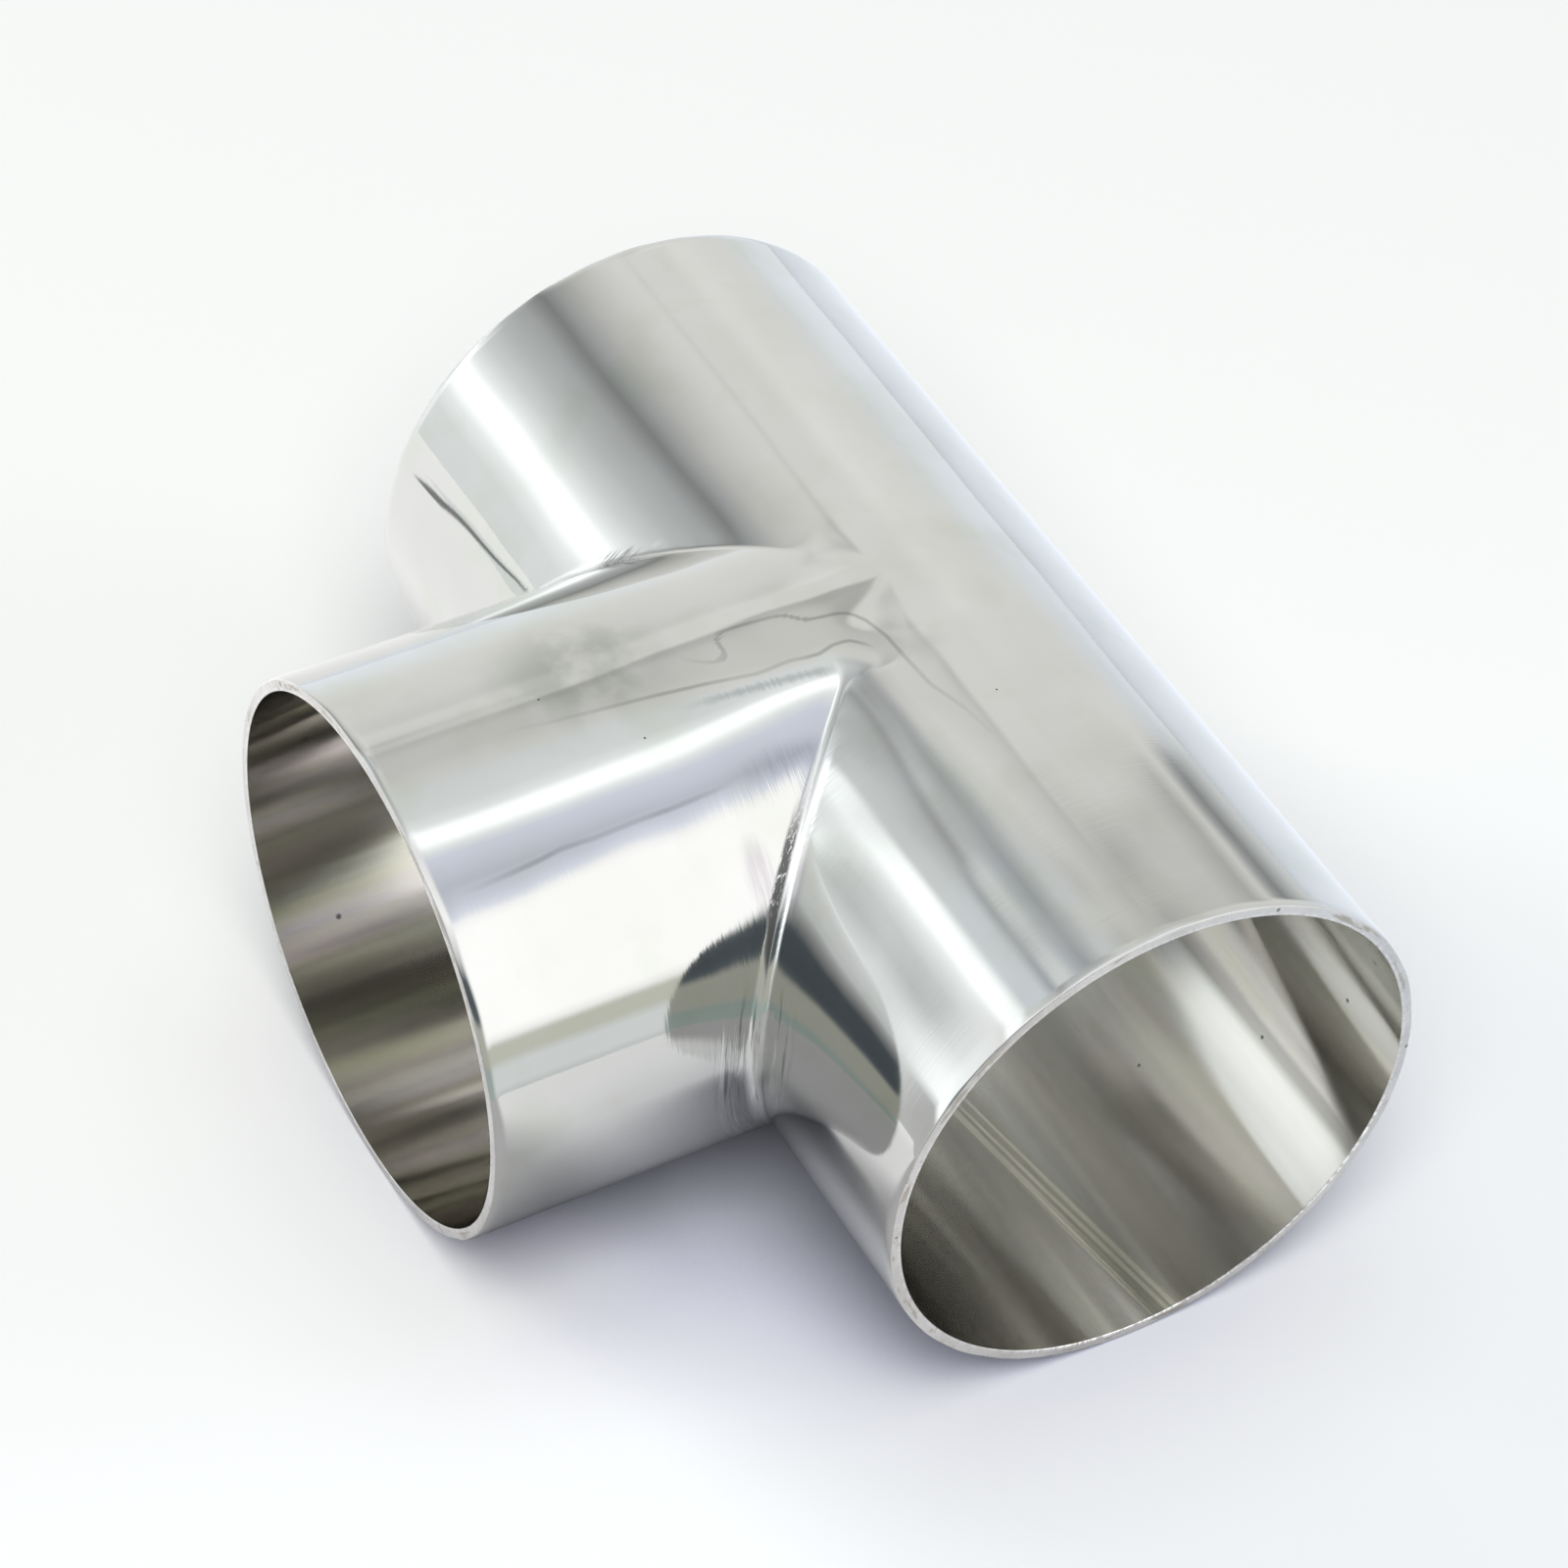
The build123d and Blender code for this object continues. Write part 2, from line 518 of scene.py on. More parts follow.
# Soft patches of the skin, as centre, half sizes, the share of them within which a patch is full, mottling,
# strength and colour
PATCHES = (
    # Cloudy, on top of the branch
    ((-0.001, -0.044, 0.038), (0.013, 0.015, 0.02), 0.2, "cloudy", 1.0, (0.44, 0.465, 0.43, 1)),
    # Painted highlight: a lighter patch over the ground crown, which makes what it mirrors brighter
    ((0.0068, -0.0210, 0.0375), (0.0085, 0.0170, 0.02), 0.3, "even", 0.8, (0.695, 0.695, 0.685, 1)),
    # Jagged marks at the far crotch
    ((-0.0268, -0.0250, 0.0287), (0.0042, 0.0042, 0.0042), 0.3, "jagged", 0.8, (0.14, 0.15, 0.15, 1)),
    # A bruise and a mauve smear beside the near crotch
    ((0.0202, -0.0257, 0.0323), (0.0030, 0.0090, 0.0034), 0.2, "bruised", 0.45, (0.34, 0.35, 0.38, 1)),
    ((0.0294, -0.0339, 0.0240), (0.0060, 0.0027, 0.0072), 0.3, "smeared", 0.55, (0.40, 0.36, 0.41, 1)),
)

# Centres of small dark specks on the skin, and how far from there they start and are full
SPECKS = ((0.01234, -0.04138, 0.03605), (0.0021, -0.0510, 0.03804), (0.0262, 0.0010, 0.03809))
SPECK_EDGE = (0.00022, 0.00010)
SPECK_COLOUR = (0.12, 0.12, 0.13, 1)

# How far from its middle a painted reflection line starts and is full, and how far the frayed one wanders
PAINTED_LINE_EDGE = (0.00045, 0.00008)
PAINTED_LINE_COLOUR = (0.29, 0.30, 0.29, 1)
FRAYED_EDGE = (0.0015, 0.0006)
FRAYED_BY = 0.0012
FRAYED_COLOUR = (0.27, 0.30, 0.31, 1)

# Stains and nicks on the cut faces, with their sizes
RIM_MARKS = (((0.072, 0.0142, 0.0345), 0.0005), ((0.072, 0.0376, -0.0015), 0.0005),
             ((-0.0233, -0.075, 0.0293), 0.0005), ((0.072, -0.0372, 0.0008), 0.0004))


def soft_patches(g, colour, where, weld, fray):
    """The colour with the soft patches on it."""
    mottling = {"even": 1.0,
                "cloudy": g.step(g.noise(where, 130.0, 3.0), 0.36, 0.60),
                "jagged": g.times(g.step(fray, 0.48, 0.56), g.step(g.math("ABSOLUTE", weld), 0.0020, 0.0010)),
                "bruised": g.step(fray, 0.30, 0.70, 0.45, 1.0),
                "smeared": g.step(fray, 0.30, 0.70, 0.3, 1.0)}
    for centre, size, fade, mottle, strength, tint in PATCHES:
        off = g.vector("LENGTH", g.vector("DIVIDE", g.vector("SUBTRACT", where, centre), size))
        colour = g.mix(g.times(g.step(off, 1.0, fade), mottling[mottle], strength), colour, tint)
    return colour


def painted_reflection_lines(g, colour, where, tone, fray):
    """The colour with the painted reflection lines, the specks and the frayed painted line on it."""
    wander = g.step(tone, 0.35, 0.65, 0.6, 1.0)
    for i in range(len(PAINTED_LINES)):
        gap = g.math("ABSOLUTE", g.field("stain_gap_%d" % i))
        line = g.times(g.step(gap, *PAINTED_LINE_EDGE), g.times(g.field("stain_%d" % i), wander))
        colour = g.mix(g.times(line, 0.6), colour, PAINTED_LINE_COLOUR)
    for spot in SPECKS:
        colour = g.mix(g.step(g.vector("DISTANCE", where, spot), *SPECK_EDGE), colour, SPECK_COLOUR)
    gap = g.math("MULTIPLY_ADD", fray, FRAYED_BY, g.math("ABSOLUTE", g.field("stain_gap_%d" % len(PAINTED_LINES))))
    line = g.times(g.step(gap, *FRAYED_EDGE), g.times(g.field("stain_%d" % len(PAINTED_LINES)), 0.5))
    return g.mix(line, colour, FRAYED_COLOUR)


def skin_material():
    """Bright buffed stainless: cloudy haze, hair-fine buffing lines round each leg, rougher by the weld."""
    mat, g = new_material("polished_stainless")
    where = g.coords()
    x, _, z = g.split(where)
    weld, ground, bead, around = [g.field(name) for name in ("weld", "ground", "bead", "around")]
    haze = g.noise(where, 55.0, 4.0)
    tone = g.noise(where, 90.0, 3.0)
    lines = g.noise(g.on_leg(9000.0, 250.0), 1.0, 2.0)
    hairs = g.noise(g.on_leg(1500.0, 60.0), 1.0, 3.0, 0.6)
    fray = g.noise(g.on_leg(2400.0, 110.0), 1.0, 2.0, 0.6)
    ridges = g.noise(g.join(g.times(weld, 1900.0), g.times(around, 70.0)), 1.0, 3.0, 0.6)
    clean = g.mix(g.step(haze, 0.3, 0.7), (0.612, 0.617, 0.608, 1), (0.638, 0.642, 0.638, 1))
    colour = g.mix(g.step(tone, 0.50, 0.72), clean, (0.592, 0.604, 0.575, 1))
    colour = soft_patches(g, colour, where, weld, fray)

    # The weld shows dark and rough for a short way down the crotch on the +X side, with a painted highlight, a bright
    # strip, beside it
    by_crotch = g.math("GREATER_THAN", x, 0.01)
    pits = g.noise(g.join(g.times(weld, 2600.0), g.times(around, 1100.0)), 1.0, 3.0, 0.7)
    taper = g.times(g.math("MAXIMUM", g.math("SUBTRACT", 0.020, z), 0.0), 0.15)
    pitted = g.math("MAXIMUM", g.step(pits, 0.32, 0.50), g.step(z, 0.0215, 0.0190))
    bare = g.times(g.step(g.math("SUBTRACT", weld, taper), -0.0016, -0.0011), g.step(weld, 0.0001, -0.0003),
                   g.times(g.step(z, 0.0115, 0.0150), g.step(z, 0.0300, 0.0255)), by_crotch, pitted)
    colour = g.mix(g.times(bare, 0.9), colour, (0.11, 0.11, 0.11, 1))
    # Painted highlight: the bright strip beside the weld
    edge = g.times(g.step(weld, -0.0004, 0.0001), g.step(weld, 0.0019, 0.0013), by_crotch,
                   g.times(g.step(z, 0.017, 0.022), g.step(z, 0.034, 0.031)))
    colour = g.mix(g.times(edge, 0.8), colour, (0.92, 0.92, 0.93, 1))

    # Low down the weld leaves dark ridges along the crotch, and the bright ones between them are painted highlights
    colour = g.mix(g.times(bead, g.step(ridges, 0.54, 0.66, 0.0, 0.9)), colour, (0.15, 0.16, 0.16, 1))
    colour = g.mix(g.times(bead, g.step(ridges, 0.44, 0.34, 0.0, 0.8)), colour, (0.90, 0.92, 0.92, 1))
    # Painted reflections: the dark lines and the frayed line, with the dark specks
    colour = painted_reflection_lines(g, colour, where, tone, fray)

    # The grinding roughens the skin, and leaves scratches and ridges on it
    rough = g.math("ADD", g.step(haze, 0.35, 0.75, 0.035, 0.085),
                   g.math("ADD", g.times(ground, 0.05), g.times(bare, 0.35)))
    height = g.math("ADD", g.times(lines, 0.035), g.times(hairs, g.math("ADD", 0.05, g.times(ground, 1.3))))
    height = g.math("ADD", height, g.times(ridges, g.times(bead, 4.0)))
    bump = g.node("ShaderNodeBump", {"Height": height, "Strength": 1.0, "Distance": 0.00002})
    g.metal(colour, rough, {"Normal": bump.outputs[0]})
    return mat


def bore_material():
    """Rolled and honed bore: its fine scratches run round the bore, so the light smears along it."""
    mat, g = new_material("bore_stainless")
    where = g.coords()
    x, y, z = g.split(where)
    streaks = g.noise(g.on_leg(12.0, 420.0), 1.0, 3.0)
    cloud = g.noise(where, 40.0, 3.0)
    colour = g.mix(g.step(streaks, 0.35, 0.7), (0.595, 0.592, 0.566, 1), (0.64, 0.637, 0.615, 1))

    # A faint olive and mauve film, stronger in the branch, and dark specks
    patches = g.noise(g.on_leg(5.0, 95.0), 1.0, 2.0)
    film = g.mix(g.step(patches, 0.40, 0.60), (1.015, 1.015, 0.93, 1), (1.015, 0.965, 0.995, 1))
    film = g.mix(g.step(y, -0.030, -0.042, 0.15, 0.9), WHITE, film)
    colour = g.vector("MULTIPLY", colour, film)
    specks = g.node("ShaderNodeTexVoronoi", {"Vector": where, "Scale": 150.0}).outputs["Distance"]
    colour = g.mix(g.step(specks, 0.065, 0.05, 0.0, 0.85), colour, (0.10, 0.10, 0.11, 1))

    # Painted reflections: a few thin bright lines run slantwise along the floor of the run's bore
    across = g.math("SUBTRACT", y, g.times(x, 0.145))
    band = g.times(g.step(across, -0.0078, -0.0073), g.step(across, -0.0034, -0.0042),
                   g.times(g.step(x, 0.015, 0.035), g.step(z, -0.030, -0.033)))
    fine = g.noise(g.join(g.times(across, 1150.0), g.times(x, 8.0)), 1.0, 1.0)
    colour = g.mix(g.times(band, 0.4), colour, (0.78, 0.77, 0.68, 1))
    colour = g.mix(g.times(band, g.step(fine, 0.50, 0.60, 0.0, 0.9)), colour, (1.0, 0.99, 0.90, 1))
    rough = g.math("ADD", g.step(streaks, 0.3, 0.7, 0.10, 0.115), g.step(cloud, 0.4, 0.7, 0.0, 0.015))
    axis = g.node("ShaderNodeAttribute", attribute_name="axis").outputs["Vector"]
    g.metal(colour, rough, {"Anisotropic": 1.0, "Tangent": axis})
    return mat


def rim_material():
    """Sawn and filed wall: pale, with beige marks between its two brighter edges and glints on the inner one."""
    mat, g = new_material("cut_face")
    where = g.coords()
    x, y, z = g.split(where)
    wall, around = g.field("wall"), g.field("around")
    grain = g.noise(where, 900.0, 3.0)
    patch = g.noise(where, 120.0, 3.0)
    spots = g.noise(where, 420.0, 3.0, 0.7)
    colour = g.mix(g.step(patch, 0.35, 0.65), (0.55, 0.54, 0.53, 1), (0.64, 0.63, 0.625, 1))
    colour = g.mix(g.step(spots, 0.60, 0.72, 0.0, 0.6), colour, (0.36, 0.33, 0.28, 1))
    middle = g.times(g.step(wall, 0.00030, 0.00055), g.step(wall, 0.00140, 0.00110))
    marks = g.noise(g.join(g.times(around, 130.0), g.times(wall, 500.0), g.times(x, 40.0)), 1.0, 3.0, 0.6)
    colour = g.mix(g.times(middle, g.step(marks, 0.56, 0.64, 0.0, 0.8)), colour, (0.37, 0.34, 0.29, 1))

    # The glints crowd together low down at the back of each rim
    inner = g.step(wall, 0.00060, 0.00030)
    low = g.times(g.step(z, -0.008, -0.016), g.step(y, -0.020, -0.008))
    glints = g.step(g.noise(g.join(g.times(around, 800.0)), 1.0, 2.0, 0.7), 0.44, 0.54)
    glints = g.times(glints, g.math("MULTIPLY_ADD", low, 0.8, 0.2))
    colour = g.mix(g.times(inner, glints), colour, WHITE)
    for spot, size in RIM_MARKS:
        gap = g.math("ADD", g.vector("DISTANCE", where, spot), g.times(grain, size))
        colour = g.mix(g.step(gap, 1.3 * size, 0.9 * size, 0.0, 0.85), colour, (0.16, 0.15, 0.14, 1))
    rough = g.math("SUBTRACT", g.step(grain, 0.3, 0.7, 0.26, 0.42), g.times(inner, glints, 0.16))
    bump = g.node("ShaderNodeBump", {"Height": g.math("ADD", grain, spots), "Strength": 0.8, "Distance": 0.00008})
    g.metal(colour, rough, {"Normal": bump.outputs[0]})
    return mat


for make in (skin_material, bore_material, rim_material):
    tee.data.materials.append(make())


# Bench, room and lamps

# Colour of the bench by the share of the room that is open over it, as the camera sees it and in the metal
BENCH_SHADE = [(0.0, (0.40, 0.41, 0.47)), (0.15, (0.495, 0.515, 0.585)), (0.25, (0.594, 0.606, 0.711)),
               (0.35, (0.756, 0.760, 0.891)), (0.45, (0.819, 0.833, 0.90)), (0.65, (0.873, 0.878, 0.90)),
               (0.80, (0.90, 0.905, 0.90)), (1.0, (0.90, 0.905, 0.90))]
MIRROR_SHADE = [(0.0, (0.22, 0.23, 0.26)), (0.15, (0.34, 0.35, 0.40)), (0.25, (0.43, 0.44, 0.50)),
                (0.35, (0.54, 0.55, 0.62)), (0.45, (0.70, 0.71, 0.76)), (0.60, (0.88, 0.88, 0.91)),
                (0.80, (0.98, 0.98, 1.0)), (1.0, (1.0, 1.0, 1.0))]

# The bench ends where the metal mirrors its edge, and a painted shadow line, a dark strip that only the metal shows,
# runs off to the left
BENCH_CORNERS = [(0.168, -0.226), (0.168, 0.9), (-0.6, 0.9), (-0.6, -0.727), (-0.245, -0.226)]
SHADOW_LINE_CORNERS = [(-0.201, -0.1727), (-0.600, -0.743), (-0.600, -0.759), (-0.197, -0.1753)]
SHEET_GAP = 0.00005


def stage_sheet(name, material, z, corners):
    """Level sheet of the stage at height z."""
    mesh = bpy.data.meshes.new(name)
    mesh.from_pydata([(x, y, z) for x, y in corners], [], [tuple(range(len(corners)))])
    obj = bpy.data.objects.new(name, mesh)
    bpy.context.scene.collection.objects.link(obj)
    obj.data.materials.append(material)
    return obj


def bench():
    """Bench top and a painted shadow line on it. What the metal mirrors of the top differs from what the camera sees.
    """
    mat, g = new_material("bench_white")
    path = g.node("ShaderNodeLightPath").outputs
    open_sky = g.node("ShaderNodeAmbientOcclusion", {"Distance": 0.2}, samples=12).outputs["AO"]
    x, y, _ = g.split(g.coords())

    # In the metal: lighter to the left, darker in front of the crotch, cooler behind the tee
    to_back = g.step(y, 0.02, 0.08)
    to_left = g.times(g.step(x, -0.02, -0.09), g.math("SUBTRACT", 1.0, to_back))
    to_front = g.times(g.step(x, 0.010, 0.035), g.step(y, -0.044, -0.060))
    shade = g.mix(g.times(to_left, 0.6), g.ramp(open_sky, MIRROR_SHADE), WHITE)
    shade = g.mix(g.times(to_front, 0.45), shade, BLACK)
    past_mouth = g.times(to_left, g.step(y, -0.035, -0.055))
    shade = g.scale(shade, g.math("MULTIPLY_ADD", past_mouth, 0.2, 1.0))
    shade = g.vector("MULTIPLY", shade, g.mix(to_back, WHITE, (0.96, 1.015, 1.10, 1)))
    mirrored = g.mix(path["Is Glossy Ray"], (0.84, 0.885, 0.93, 1), shade)

    # To the camera: the contact shadow goes bluish and deeper as less of the room is open over the bench,
    # and is weaker off the two open ends at the left
    tint = g.mix(g.step(x, -0.06, 0.09), (1.0, 1.008, 1.012, 1), (1.01, 1.022, 1.06, 1))
    off_mouth = g.times(g.step(y, -0.045, -0.062), g.step(x, 0.04, 0.03))
    off_ends = g.math("MAXIMUM", off_mouth, g.step(x, -0.075, -0.088))
    open_seen = g.math("MULTIPLY_ADD", off_ends, 0.13, open_sky)
    seen = g.vector("MULTIPLY", g.ramp(open_seen, BENCH_SHADE), tint)
    g.matt(g.mix(path["Is Camera Ray"], mirrored, seen))
    stage_sheet("bench_top", mat, FLOOR_Z - SHEET_GAP, BENCH_CORNERS)
    # Painted shadow line: a dark strip over the bench that only the metal mirrors
    shadow_line, g = new_material("bench_shadow_line")
    g.matt((0.25, 0.26, 0.26, 1))
    strip = stage_sheet("bench_shadow_line", shadow_line, FLOOR_Z + SHEET_GAP, SHADOW_LINE_CORNERS)
    strip.visible_camera = False


# Tints of the room's light
WARM = (1.015, 1.01, 0.975)
COOL = (0.97, 1.005, 1.005)
SKY = (0.95, 1.0, 1.05)
LILAC = (0.935, 0.965, 1.09)
CREAM = (1.005, 1.0, 0.985)
OLIVE = (1.02, 1.03, 0.90)
TEAL = (0.90, 1.06, 1.00)
SLATE = (0.84, 1.0, 1.12)
PLAIN = (1.0, 1.0, 1.0)

# Light of the room by direction, as stops of angle, level and tint. The angles are degrees from straight
# up: towards +X for what the branch mirrors, and towards -Y for the rest. The run's back leg mirrors the
# first, the far and near parts of its front leg the next two, and its bore the last.
BACK_RAMP = [(-95, 0.94, SKY), (-85, 0.91, SKY), (-76, 0.83, COOL), (-66, 0.83, WARM), (-56, 0.86, WARM),
             (-45, 0.90, WARM), (-34, 0.88, WARM), (-26, 0.85, WARM), (-19, 0.815, WARM), (-12, 0.745, WARM),
             (0, 0.58, WARM), (9, 0.42, COOL), (15, 0.27, COOL), (18, 0.33, COOL), (24, 0.475, COOL),
             (36, 0.62, COOL), (46, 0.82, COOL), (54, 1.10, COOL), (60, 1.6, COOL), (66, 1.48, COOL),
             (72, 1.10, COOL), (80, 0.92, COOL), (110, 0.87, COOL)]
FRONT_RAMP = [(-95, 0.90, SKY), (-88, 0.80, SKY), (-76, 0.80, WARM), (-60, 0.79, WARM), (-40, 0.78, WARM),
              (-31, 0.655, WARM), (-25, 0.565, WARM), (-21, 0.67, WARM), (-10, 0.82, WARM), (-2, 0.76, WARM),
              (4, 0.53, COOL), (8, 0.48, COOL), (13, 0.57, COOL), (18, 0.60, COOL), (21.5, 0.42, COOL),
              (25, 0.60, COOL), (32, 0.77, COOL), (37, 0.80, COOL), (40, 1.4, COOL), (46, 1.5, COOL),
              (51, 1.04, COOL), (58, 0.70, COOL), (66, 0.62, COOL), (74, 0.88, COOL), (82, 0.93, COOL),
              (88, 0.76, WARM), (110, 0.70, WARM)]
NEAR_RAMP = [(-105, 0.80, SKY), (-92, 0.70, COOL), (-86, 0.50, COOL), (-80.5, 0.29, COOL), (-77, 0.41, COOL),
             (-72.5, 0.73, WARM), (-66, 0.49, WARM), (-60, 0.57, WARM), (-54, 0.64, WARM), (-40, 0.635, WARM),
             (-28, 0.50, WARM), (-20, 0.61, WARM), (-14, 0.67, WARM), (-9, 0.61, WARM), (-3, 0.70, COOL),
             (1, 0.71, COOL), (5, 0.56, COOL), (8.5, 0.44, SKY), (13, 0.57, SKY), (17, 0.80, COOL),
             (21, 0.79, COOL), (24, 0.46, SKY), (28, 0.78, SKY), (36, 0.79, SKY), (40, 1.3, COOL),
             (46, 1.45, COOL), (49, 1.06, COOL), (60, 0.79, COOL), (68, 0.74, COOL), (78, 1.10, COOL),
             (84, 1.0, COOL), (110, 0.70, WARM)]
BRANCH_RAMP = [(-95, 0.95, SKY), (-86, 0.91, COOL), (-76, 0.84, WARM), (-58, 0.78, WARM), (-49, 0.69, WARM),
               (-42, 0.50, WARM), (-38, 0.55, WARM), (-34, 0.65, WARM), (-26, 0.66, WARM), (-20, 0.73, WARM),
               (-14, 0.80, COOL), (-5, 0.85, COOL), (0, 1.0, COOL), (2.5, 1.4, COOL), (7, 1.4, COOL),
               (10, 1.0, COOL), (13, 0.84, LILAC), (26, 0.66, LILAC), (28.5, 0.70, LILAC), (34, 0.80, LILAC),
               (37.5, 0.93, LILAC), (40.5, 1.20, CREAM), (43.5, 1.29, CREAM), (84, 1.29, CREAM),
               (87, 1.1, CREAM), (89.5, 0.62, OLIVE), (95, 0.62, OLIVE), (99, 0.80, COOL), (107, 0.80, COOL),
               (110, 0.66, COOL), (112, 0.80, COOL)]
LEFT_RAMP = [(40, 0.84, PLAIN), (52, 1.00, PLAIN), (60, 1.08, COOL), (68, 1.14, COOL), (74, 1.28, COOL),
             (80, 1.38, COOL), (84.5, 1.36, COOL), (87, 0.92, COOL), (89, 0.56, PLAIN), (94, 0.56, PLAIN),
             (110, 0.60, PLAIN)]

# Towards the viewer the stops are heights above the horizon, as the sine of the elevation
VIEWER_RAMP = [(-0.80, 0.62, COOL), (-0.44, 0.60, PLAIN), (-0.40, 0.47, TEAL), (-0.14, 0.44, TEAL),
               (-0.09, 0.49, OLIVE), (0.17, 0.50, OLIVE), (0.235, 0.15, SLATE), (0.30, 0.115, SLATE),
               (0.48, 0.125, SLATE), (0.56, 0.45, PLAIN), (0.64, 0.75, PLAIN), (0.80, 1.2, PLAIN),
               (1.0, 0.95, PLAIN)]

# Everything is mixed at half its level, because ramp colours stop at 1, and scaled up to its light at the end
RAMP_SHARE = 0.5
LIGHT = 2.4

# From here on x and y are those of the direction, and a pair of them is where something starts and is full.
# The run mirrors two arcs of the room, this far to either side of one x, and the branch mirrors one arc about
# one y. Each arc reaches ARC_HALF to either side of its middle. Elsewhere the nearer one counts for more, by
# the inverse of its squared distance, to which these least values are added.
RUN_ARCS_X, RUN_ARCS_OFF = -0.629, 0.0485
BRANCH_ARC_Y = 0.325
ARC_HALF = 0.0215
LEAST_TO_RUN, LEAST_TO_BRANCH = 0.0001, 0.0002

# Where FRONT_RAMP takes over from BACK_RAMP, and NEAR_RAMP from both of them
FRONT_X = (-0.645, -0.585)
NEAR_X = ((-0.588, -0.574), (-0.44, -0.53))

# Past this y the end of the branch's bright band is slanted, by degrees for each unit of y, between these angles
SLANT_Y, SLANT = 0.29, 115.0
SLANT_LEAN = ((18, 30), (60, 45))

# Where the arcs cross, the crown mirrors a plain patch, about this x
CROWN_X, CROWN_OFF = -0.64, (0.068, 0.042)
CROWN_Y = ((0.290, 0.330), (0.56, 0.44))
CROWN_LIGHT = (0.415, 0.412, 0.398, 1)

# Where LEFT_RAMP and VIEWER_RAMP take over, and a brighter part far to the left
LEFT_X, LEFT_LEAN = ((-0.578, -0.566), (0.0, -0.1)), (44, 50)
VIEWER_X, VIEWER_Y = (-0.05, 0.25), (0.20, 0.02)
FAR_LEFT_X, FAR_LEFT_Y, FAR_LEFT_MORE = (-0.70, -0.76), (-0.30, -0.50), 0.6

# The room as plain light on everything but metal, and behind the bench
FILL_LIGHT = (0.105, 0.11, 0.125, 1)
BACKDROP = (0.93, 0.94, 0.94, 1)


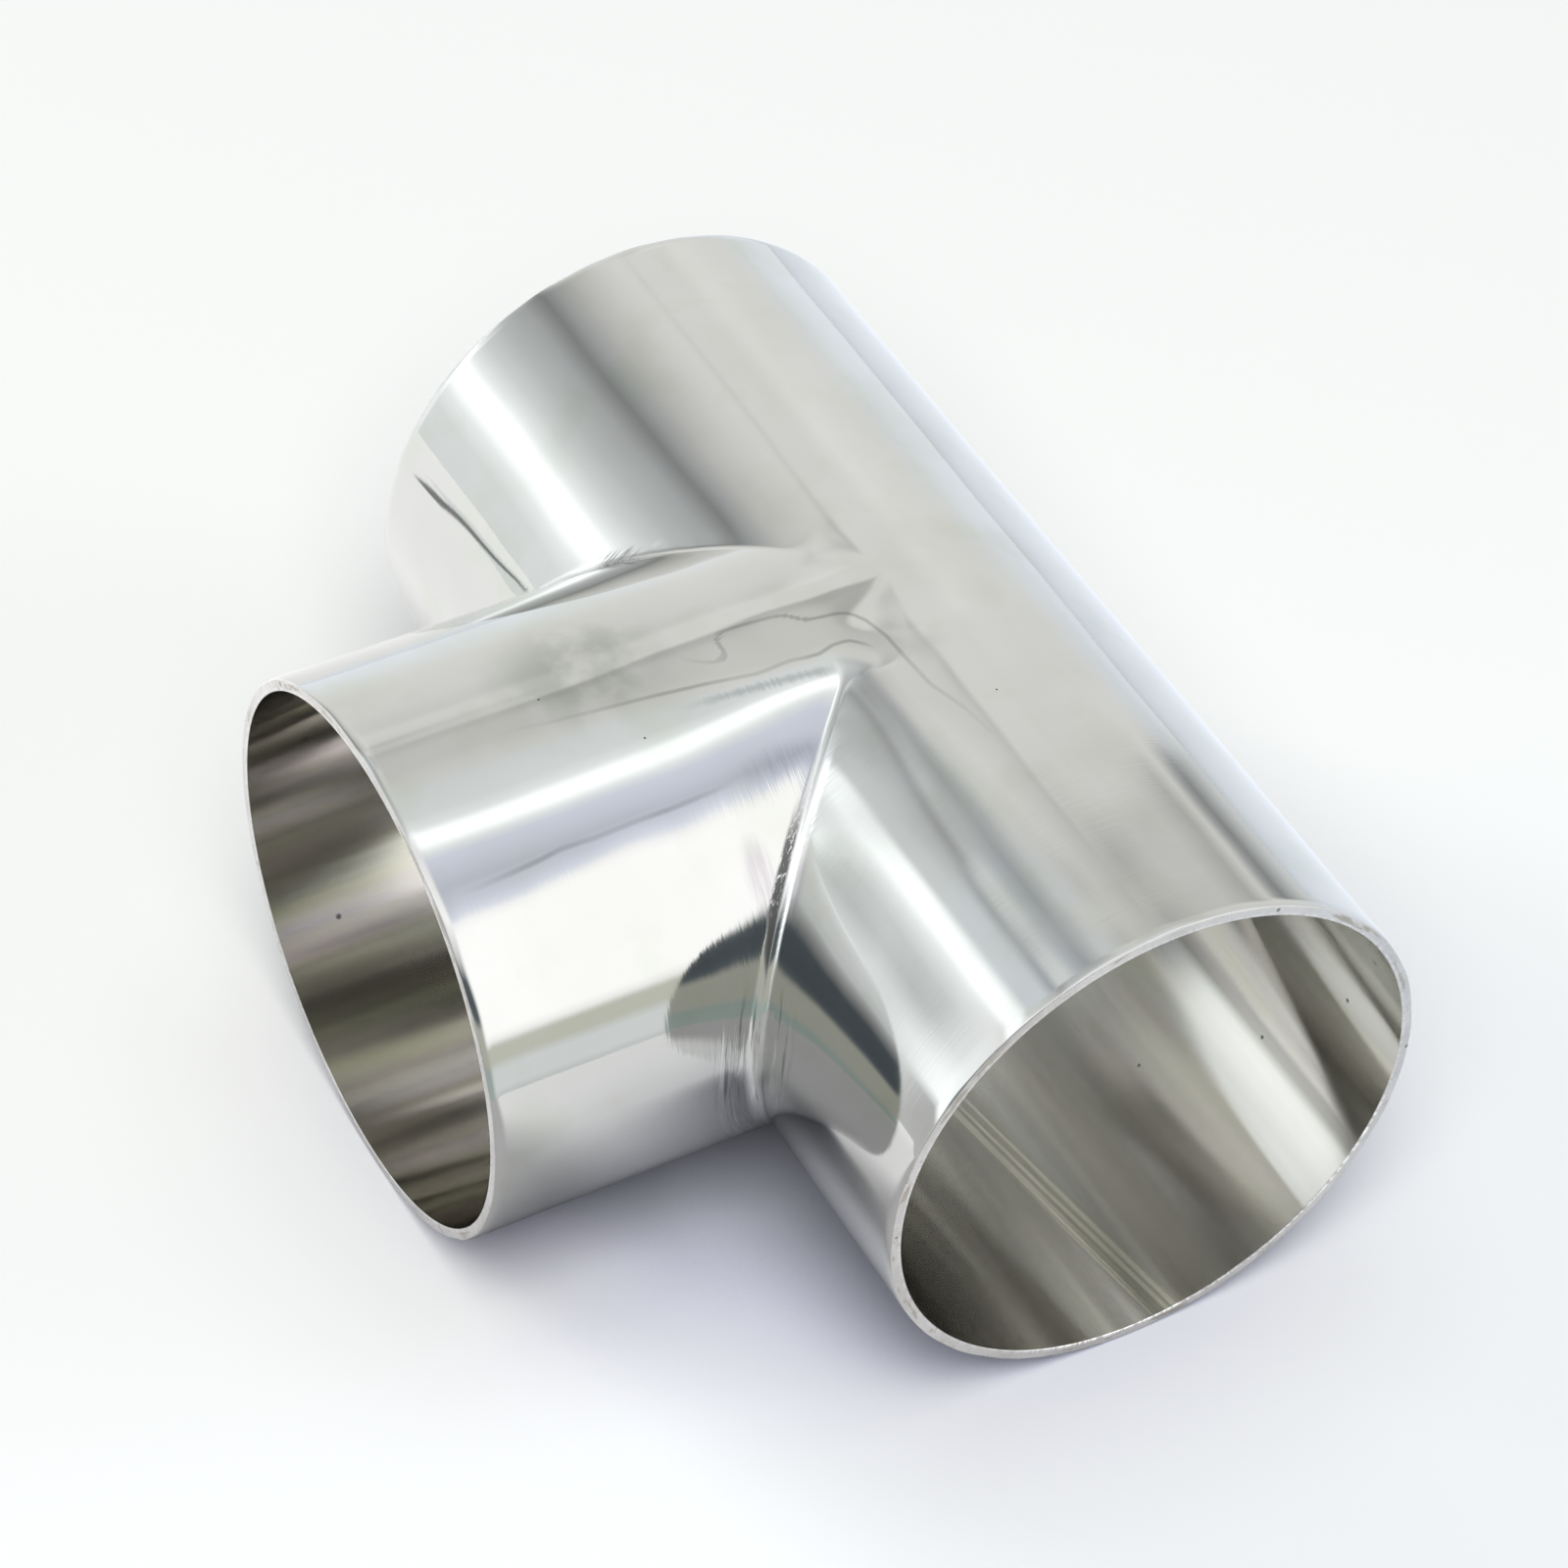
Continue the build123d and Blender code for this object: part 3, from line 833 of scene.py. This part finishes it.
def room():
    """World whose light the metal mirrors, by direction."""
    world = bpy.data.worlds.new("room")
    world.use_nodes = True
    g = Graph(world.node_tree)
    x, y, z = g.split(g.coords("Generated"))
    degrees = 180 / math.pi
    lean_run = g.times(g.math("ARCTAN2", g.times(y, -1.0), z), degrees)
    lean_branch = g.times(g.math("ARCTAN2", x, z), degrees)

    def ramp(at, stops):
        return g.ramp(at, [(a, tuple(level * RAMP_SHARE * t for t in tint)) for a, level, tint in stops])

    def off_arc(off):
        """How far a direction is from an arc, where off is how far it is from the arc's middle."""
        return g.math("MAXIMUM", g.math("SUBTRACT", g.math("ABSOLUTE", off), ARC_HALF), 0.0)

    run = g.mix(g.step(x, *FRONT_X), ramp(lean_run, BACK_RAMP), ramp(lean_run, FRONT_RAMP))
    run = g.mix(g.times(g.step(x, *NEAR_X[0]), g.step(x, *NEAR_X[1])), run, ramp(lean_run, NEAR_RAMP))
    off_run = off_arc(g.math("SUBTRACT", g.math("ABSOLUTE", g.math("ADD", x, -RUN_ARCS_X)), RUN_ARCS_OFF))
    off_branch = off_arc(g.math("ADD", y, -BRANCH_ARC_Y))
    to_run = g.math("MULTIPLY_ADD", off_run, off_run, LEAST_TO_RUN)
    to_branch = g.math("MULTIPLY_ADD", off_branch, off_branch, LEAST_TO_BRANCH)
    share = g.math("DIVIDE", to_run, g.math("ADD", to_branch, to_run))

    slant = g.times(g.math("MAXIMUM", g.math("SUBTRACT", y, SLANT_Y), 0.0), SLANT)
    slant = g.times(slant, g.times(g.step(lean_branch, *SLANT_LEAN[0]), g.step(lean_branch, *SLANT_LEAN[1])))
    light = g.mix(share, run, ramp(g.math("ADD", lean_branch, slant), BRANCH_RAMP))
    off_crown = g.math("ABSOLUTE", g.math("ADD", x, -CROWN_X))
    crown = g.times(g.step(off_crown, *CROWN_OFF), g.step(y, *CROWN_Y[0]), g.step(y, *CROWN_Y[1]))
    light = g.mix(crown, light, CROWN_LIGHT)

    # Low down to the left, where only the bore of the run looks, through the branch
    left = g.times(g.step(x, *LEFT_X[0]), g.times(g.step(x, *LEFT_X[1]), g.step(lean_run, *LEFT_LEAN)))
    light = g.mix(left, light, ramp(lean_run, LEFT_RAMP))

    # The dark side of the room, where the viewer stands, with a table in front of it and the lamps over it
    viewer = g.times(g.step(x, *VIEWER_X), g.step(y, *VIEWER_Y))
    light = g.mix(viewer, light, ramp(z, VIEWER_RAMP))
    far_left = g.times(g.step(x, *FAR_LEFT_X), g.step(y, *FAR_LEFT_Y))
    light = g.scale(light, g.math("MULTIPLY_ADD", far_left, FAR_LEFT_MORE, LIGHT))

    # The metal sees all of this, unless the light comes to it by way of the bench
    path = g.node("ShaderNodeLightPath").outputs
    in_metal = g.math("MAXIMUM", path["Is Glossy Ray"], path["Is Transmission Ray"])
    direct = g.math("SUBTRACT", 1.0, g.math("MINIMUM", path["Diffuse Depth"], 1.0))
    plain = g.mix(path["Is Camera Ray"], FILL_LIGHT, BACKDROP)
    background = g.node("ShaderNodeBackground", {0: g.mix(g.times(in_metal, direct), plain, light), 1: 1.0})
    g.node("ShaderNodeOutputWorld", {0: background.outputs[0]})
    world.cycles.sampling_method = "NONE"
    bpy.context.scene.world = world


# Lamps, as name, azimuth, elevation, width, power and colour
LAMPS = (("front", 330, 56, 2.2, 64.0, (1.0, 0.98, 0.93)),
         ("top", 330, 89.9, 2.8, 31.0, (0.95, 0.985, 1.0)),
         ("low", 208, 8, 1.2, 76.0, (1.0, 0.98, 0.92)),
         ("back_low", 60, 8, 1.2, 32.0, (0.95, 0.98, 1.0)))
LAMP_DISTANCE = 3.0


def softbox(name, azimuth, elevation, size, power, colour):
    """Round lamp that the metal doesn't mirror: the room's own light stands for it there."""
    data = bpy.data.lights.new(name, "AREA")
    data.shape, data.size, data.energy, data.color = "DISK", size, power, colour
    lamp = bpy.data.objects.new(name, data)
    bpy.context.scene.collection.objects.link(lamp)
    a, e = math.radians(azimuth), math.radians(elevation)
    way = Vector((math.cos(a) * math.cos(e), math.sin(a) * math.cos(e), math.sin(e)))
    lamp.location = way * LAMP_DISTANCE
    lamp.rotation_mode = "QUATERNION"
    lamp.rotation_quaternion = (-way).to_track_quat("-Z", "Y")
    lamp.visible_glossy = False
    lamp.visible_camera = False


# The photograph's camera: sensor and lens in millimetres, place in metres and turn as a quaternion
SENSOR = 36.0
LENS = 120.285
CAMERA_AT = (0.42409, -0.259724, 0.490469)
CAMERA_TURN = (0.7900141, 0.3372941, 0.1852236, 0.4772867)


def add_camera():
    data = bpy.data.cameras.new("camera")
    camera = bpy.data.objects.new("camera", data)
    bpy.context.scene.collection.objects.link(camera)
    data.sensor_width = SENSOR
    data.lens = LENS
    data.clip_start, data.clip_end = 0.05, 20.0
    camera.location = CAMERA_AT
    camera.rotation_mode = "QUATERNION"
    camera.rotation_quaternion = Quaternion(CAMERA_TURN)
    bpy.context.scene.camera = camera


bench()
room()
for lamp_values in LAMPS:
    softbox(*lamp_values)
add_camera()
bpy.context.scene.view_settings.view_transform = "Standard"

# The bore mirrors itself many times over
bpy.context.scene.cycles.glossy_bounces = 12
